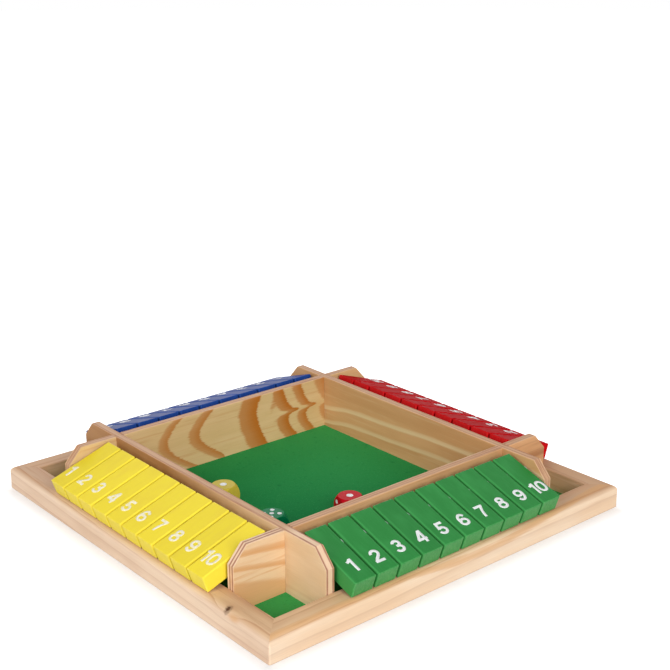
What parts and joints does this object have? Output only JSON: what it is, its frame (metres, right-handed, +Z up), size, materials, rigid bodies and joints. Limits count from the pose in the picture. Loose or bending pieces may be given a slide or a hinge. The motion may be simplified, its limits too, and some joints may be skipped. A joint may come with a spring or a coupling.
{
  "type": "shut the box game",
  "caption": "Square wooden shut the box game for four players: a mitred frame round a dice tray, with a bank of numbered flip tiles on each side.",
  "frame": {"origin": "centre of the flat underside of the frame", "axes": "+Z up; the green bank faces -Y, the red bank +X, the blue bank +Y and the yellow bank -X"},
  "size_m": [0.3, 0.3, 0.0425],
  "materials": {
    "pine": "pale pine, sanded and clear sealed",
    "plywood": "pale birch and pine plywood, sanded, with brown glue lines at the cut edges",
    "base_ply": "plain thin plywood, sanded",
    "green_lining": "matt green lining sheet with a faint mottle",
    "steel": "bright drawn steel rod",
    "washer_nylon": "milky white nylon",
    "green_paint": "satin green paint on wood",
    "red_paint": "satin red paint on wood",
    "blue_paint": "satin blue paint on wood",
    "yellow_paint": "satin yellow paint on wood",
    "die_yellow": "moulded yellow plastic with white pips",
    "die_red": "moulded red plastic with white pips",
    "die_green": "moulded green plastic with white pips",
    "die_blue": "moulded blue plastic with white pips",
    "white_print": "white ink for the numbers and the pips"
  },
  "bodies": {
    "case": {"front_rail": "pine", "right_rail": "pine", "back_rail": "pine", "left_rail": "pine", "front_board": "plywood", "right_board": "plywood", "back_board": "plywood", "left_board": "plywood", "base_panel": "base_ply", "floor_lining": "green_lining", "pivot_rods": "steel", "spacer_washers": "washer_nylon"},
    "green_tile_1": {"green_tile_1": "green_paint"},
    "green_tile_2": {"green_tile_2": "green_paint"},
    "green_tile_3": {"green_tile_3": "green_paint"},
    "green_tile_4": {"green_tile_4": "green_paint"},
    "green_tile_5": {"green_tile_5": "green_paint"},
    "green_tile_6": {"green_tile_6": "green_paint"},
    "green_tile_7": {"green_tile_7": "green_paint"},
    "green_tile_8": {"green_tile_8": "green_paint"},
    "green_tile_9": {"green_tile_9": "green_paint"},
    "green_tile_10": {"green_tile_10": "green_paint"},
    "red_tile_1": {"red_tile_1": "red_paint"},
    "red_tile_2": {"red_tile_2": "red_paint"},
    "red_tile_3": {"red_tile_3": "red_paint"},
    "red_tile_4": {"red_tile_4": "red_paint"},
    "red_tile_5": {"red_tile_5": "red_paint"},
    "red_tile_6": {"red_tile_6": "red_paint"},
    "red_tile_7": {"red_tile_7": "red_paint"},
    "red_tile_8": {"red_tile_8": "red_paint"},
    "red_tile_9": {"red_tile_9": "red_paint"},
    "red_tile_10": {"red_tile_10": "red_paint"},
    "blue_tile_1": {"blue_tile_1": "blue_paint"},
    "blue_tile_2": {"blue_tile_2": "blue_paint"},
    "blue_tile_3": {"blue_tile_3": "blue_paint"},
    "blue_tile_4": {"blue_tile_4": "blue_paint"},
    "blue_tile_5": {"blue_tile_5": "blue_paint"},
    "blue_tile_6": {"blue_tile_6": "blue_paint"},
    "blue_tile_7": {"blue_tile_7": "blue_paint"},
    "blue_tile_8": {"blue_tile_8": "blue_paint"},
    "blue_tile_9": {"blue_tile_9": "blue_paint"},
    "blue_tile_10": {"blue_tile_10": "blue_paint"},
    "yellow_tile_1": {"yellow_tile_1": "yellow_paint"},
    "yellow_tile_2": {"yellow_tile_2": "yellow_paint"},
    "yellow_tile_3": {"yellow_tile_3": "yellow_paint"},
    "yellow_tile_4": {"yellow_tile_4": "yellow_paint"},
    "yellow_tile_5": {"yellow_tile_5": "yellow_paint"},
    "yellow_tile_6": {"yellow_tile_6": "yellow_paint"},
    "yellow_tile_7": {"yellow_tile_7": "yellow_paint"},
    "yellow_tile_8": {"yellow_tile_8": "yellow_paint"},
    "yellow_tile_9": {"yellow_tile_9": "yellow_paint"},
    "yellow_tile_10": {"yellow_tile_10": "yellow_paint"},
    "yellow_die_1": {"yellow_die_1": "die_yellow"},
    "yellow_die_2": {"yellow_die_2": "die_yellow"},
    "red_die_1": {"red_die_1": "die_red"},
    "red_die_2": {"red_die_2": "die_red"},
    "green_die_1": {"green_die_1": "die_green"},
    "green_die_2": {"green_die_2": "die_green"},
    "blue_die_1": {"blue_die_1": "die_blue"},
    "blue_die_2": {"blue_die_2": "die_blue"}
  },
  "joints": [
    {"name": "green_flip_1", "type": "hinge", "parent": "case", "child": "green_tile_1", "pos_m": [-0.08035, -0.1166, 0.032], "axis": [-1, 0, 0], "range_deg": [0, 155]},
    {"name": "green_flip_2", "type": "hinge", "parent": "case", "child": "green_tile_2", "pos_m": [-0.06249, -0.1166, 0.032], "axis": [-1, 0, 0], "range_deg": [0, 155]},
    {"name": "green_flip_3", "type": "hinge", "parent": "case", "child": "green_tile_3", "pos_m": [-0.04464, -0.1166, 0.032], "axis": [-1, 0, 0], "range_deg": [0, 155]},
    {"name": "green_flip_4", "type": "hinge", "parent": "case", "child": "green_tile_4", "pos_m": [-0.02678, -0.1166, 0.032], "axis": [-1, 0, 0], "range_deg": [0, 155]},
    {"name": "green_flip_5", "type": "hinge", "parent": "case", "child": "green_tile_5", "pos_m": [-0.00893, -0.1166, 0.032], "axis": [-1, 0, 0], "range_deg": [0, 155]},
    {"name": "green_flip_6", "type": "hinge", "parent": "case", "child": "green_tile_6", "pos_m": [0.00893, -0.1166, 0.032], "axis": [-1, 0, 0], "range_deg": [0, 155]},
    {"name": "green_flip_7", "type": "hinge", "parent": "case", "child": "green_tile_7", "pos_m": [0.02678, -0.1166, 0.032], "axis": [-1, 0, 0], "range_deg": [0, 155]},
    {"name": "green_flip_8", "type": "hinge", "parent": "case", "child": "green_tile_8", "pos_m": [0.04464, -0.1166, 0.032], "axis": [-1, 0, 0], "range_deg": [0, 155]},
    {"name": "green_flip_9", "type": "hinge", "parent": "case", "child": "green_tile_9", "pos_m": [0.06249, -0.1166, 0.032], "axis": [-1, 0, 0], "range_deg": [0, 155]},
    {"name": "green_flip_10", "type": "hinge", "parent": "case", "child": "green_tile_10", "pos_m": [0.08035, -0.1166, 0.032], "axis": [-1, 0, 0], "range_deg": [0, 155]},
    {"name": "red_flip_1", "type": "hinge", "parent": "case", "child": "red_tile_1", "pos_m": [0.1166, -0.08035, 0.032], "axis": [0, -1, 0], "range_deg": [0, 155]},
    {"name": "red_flip_2", "type": "hinge", "parent": "case", "child": "red_tile_2", "pos_m": [0.1166, -0.06249, 0.032], "axis": [0, -1, 0], "range_deg": [0, 155]},
    {"name": "red_flip_3", "type": "hinge", "parent": "case", "child": "red_tile_3", "pos_m": [0.1166, -0.04464, 0.032], "axis": [0, -1, 0], "range_deg": [0, 155]},
    {"name": "red_flip_4", "type": "hinge", "parent": "case", "child": "red_tile_4", "pos_m": [0.1166, -0.02678, 0.032], "axis": [0, -1, 0], "range_deg": [0, 155]},
    {"name": "red_flip_5", "type": "hinge", "parent": "case", "child": "red_tile_5", "pos_m": [0.1166, -0.00893, 0.032], "axis": [0, -1, 0], "range_deg": [0, 155]},
    {"name": "red_flip_6", "type": "hinge", "parent": "case", "child": "red_tile_6", "pos_m": [0.1166, 0.00893, 0.032], "axis": [0, -1, 0], "range_deg": [0, 155]},
    {"name": "red_flip_7", "type": "hinge", "parent": "case", "child": "red_tile_7", "pos_m": [0.1166, 0.02678, 0.032], "axis": [0, -1, 0], "range_deg": [0, 155]},
    {"name": "red_flip_8", "type": "hinge", "parent": "case", "child": "red_tile_8", "pos_m": [0.1166, 0.04464, 0.032], "axis": [0, -1, 0], "range_deg": [0, 155]},
    {"name": "red_flip_9", "type": "hinge", "parent": "case", "child": "red_tile_9", "pos_m": [0.1166, 0.06249, 0.032], "axis": [0, -1, 0], "range_deg": [0, 155]},
    {"name": "red_flip_10", "type": "hinge", "parent": "case", "child": "red_tile_10", "pos_m": [0.1166, 0.08035, 0.032], "axis": [0, -1, 0], "range_deg": [0, 155]},
    {"name": "blue_flip_1", "type": "hinge", "parent": "case", "child": "blue_tile_1", "pos_m": [0.08035, 0.1166, 0.032], "axis": [1, 0, 0], "range_deg": [0, 155]},
    {"name": "blue_flip_2", "type": "hinge", "parent": "case", "child": "blue_tile_2", "pos_m": [0.06249, 0.1166, 0.032], "axis": [1, 0, 0], "range_deg": [0, 155]},
    {"name": "blue_flip_3", "type": "hinge", "parent": "case", "child": "blue_tile_3", "pos_m": [0.04464, 0.1166, 0.032], "axis": [1, 0, 0], "range_deg": [0, 155]},
    {"name": "blue_flip_4", "type": "hinge", "parent": "case", "child": "blue_tile_4", "pos_m": [0.02678, 0.1166, 0.032], "axis": [1, 0, 0], "range_deg": [0, 155]},
    {"name": "blue_flip_5", "type": "hinge", "parent": "case", "child": "blue_tile_5", "pos_m": [0.00893, 0.1166, 0.032], "axis": [1, 0, 0], "range_deg": [0, 155]},
    {"name": "blue_flip_6", "type": "hinge", "parent": "case", "child": "blue_tile_6", "pos_m": [-0.00893, 0.1166, 0.032], "axis": [1, 0, 0], "range_deg": [0, 155]},
    {"name": "blue_flip_7", "type": "hinge", "parent": "case", "child": "blue_tile_7", "pos_m": [-0.02678, 0.1166, 0.032], "axis": [1, 0, 0], "range_deg": [0, 155]},
    {"name": "blue_flip_8", "type": "hinge", "parent": "case", "child": "blue_tile_8", "pos_m": [-0.04464, 0.1166, 0.032], "axis": [1, 0, 0], "range_deg": [0, 155]},
    {"name": "blue_flip_9", "type": "hinge", "parent": "case", "child": "blue_tile_9", "pos_m": [-0.06249, 0.1166, 0.032], "axis": [1, 0, 0], "range_deg": [0, 155]},
    {"name": "blue_flip_10", "type": "hinge", "parent": "case", "child": "blue_tile_10", "pos_m": [-0.08035, 0.1166, 0.032], "axis": [1, 0, 0], "range_deg": [0, 155]},
    {"name": "yellow_flip_1", "type": "hinge", "parent": "case", "child": "yellow_tile_1", "pos_m": [-0.1166, 0.08035, 0.032], "axis": [0, 1, 0], "range_deg": [0, 155]},
    {"name": "yellow_flip_2", "type": "hinge", "parent": "case", "child": "yellow_tile_2", "pos_m": [-0.1166, 0.06249, 0.032], "axis": [0, 1, 0], "range_deg": [0, 155]},
    {"name": "yellow_flip_3", "type": "hinge", "parent": "case", "child": "yellow_tile_3", "pos_m": [-0.1166, 0.04464, 0.032], "axis": [0, 1, 0], "range_deg": [0, 155]},
    {"name": "yellow_flip_4", "type": "hinge", "parent": "case", "child": "yellow_tile_4", "pos_m": [-0.1166, 0.02678, 0.032], "axis": [0, 1, 0], "range_deg": [0, 155]},
    {"name": "yellow_flip_5", "type": "hinge", "parent": "case", "child": "yellow_tile_5", "pos_m": [-0.1166, 0.00893, 0.032], "axis": [0, 1, 0], "range_deg": [0, 155]},
    {"name": "yellow_flip_6", "type": "hinge", "parent": "case", "child": "yellow_tile_6", "pos_m": [-0.1166, -0.00893, 0.032], "axis": [0, 1, 0], "range_deg": [0, 155]},
    {"name": "yellow_flip_7", "type": "hinge", "parent": "case", "child": "yellow_tile_7", "pos_m": [-0.1166, -0.02678, 0.032], "axis": [0, 1, 0], "range_deg": [0, 155]},
    {"name": "yellow_flip_8", "type": "hinge", "parent": "case", "child": "yellow_tile_8", "pos_m": [-0.1166, -0.04464, 0.032], "axis": [0, 1, 0], "range_deg": [0, 155]},
    {"name": "yellow_flip_9", "type": "hinge", "parent": "case", "child": "yellow_tile_9", "pos_m": [-0.1166, -0.06249, 0.032], "axis": [0, 1, 0], "range_deg": [0, 155]},
    {"name": "yellow_flip_10", "type": "hinge", "parent": "case", "child": "yellow_tile_10", "pos_m": [-0.1166, -0.08035, 0.032], "axis": [0, 1, 0], "range_deg": [0, 155]},
    {"name": "yellow_die_lift_1", "type": "slide", "parent": "case", "child": "yellow_die_1", "axis": [0, 0, 1], "range_m": [0, 0.06]},
    {"name": "yellow_die_lift_2", "type": "slide", "parent": "case", "child": "yellow_die_2", "axis": [0, 0, 1], "range_m": [0, 0.06]},
    {"name": "red_die_lift_1", "type": "slide", "parent": "case", "child": "red_die_1", "axis": [0, 0, 1], "range_m": [0, 0.06]},
    {"name": "red_die_lift_2", "type": "slide", "parent": "case", "child": "red_die_2", "axis": [0, 0, 1], "range_m": [0, 0.06]},
    {"name": "green_die_lift_1", "type": "slide", "parent": "case", "child": "green_die_1", "axis": [0, 0, 1], "range_m": [0, 0.06]},
    {"name": "green_die_lift_2", "type": "slide", "parent": "case", "child": "green_die_2", "axis": [0, 0, 1], "range_m": [0, 0.06]},
    {"name": "blue_die_lift_1", "type": "slide", "parent": "case", "child": "blue_die_1", "axis": [0, 0, 1], "range_m": [0, 0.06]},
    {"name": "blue_die_lift_2", "type": "slide", "parent": "case", "child": "blue_die_2", "axis": [0, 0, 1], "range_m": [0, 0.06]}
  ]
}
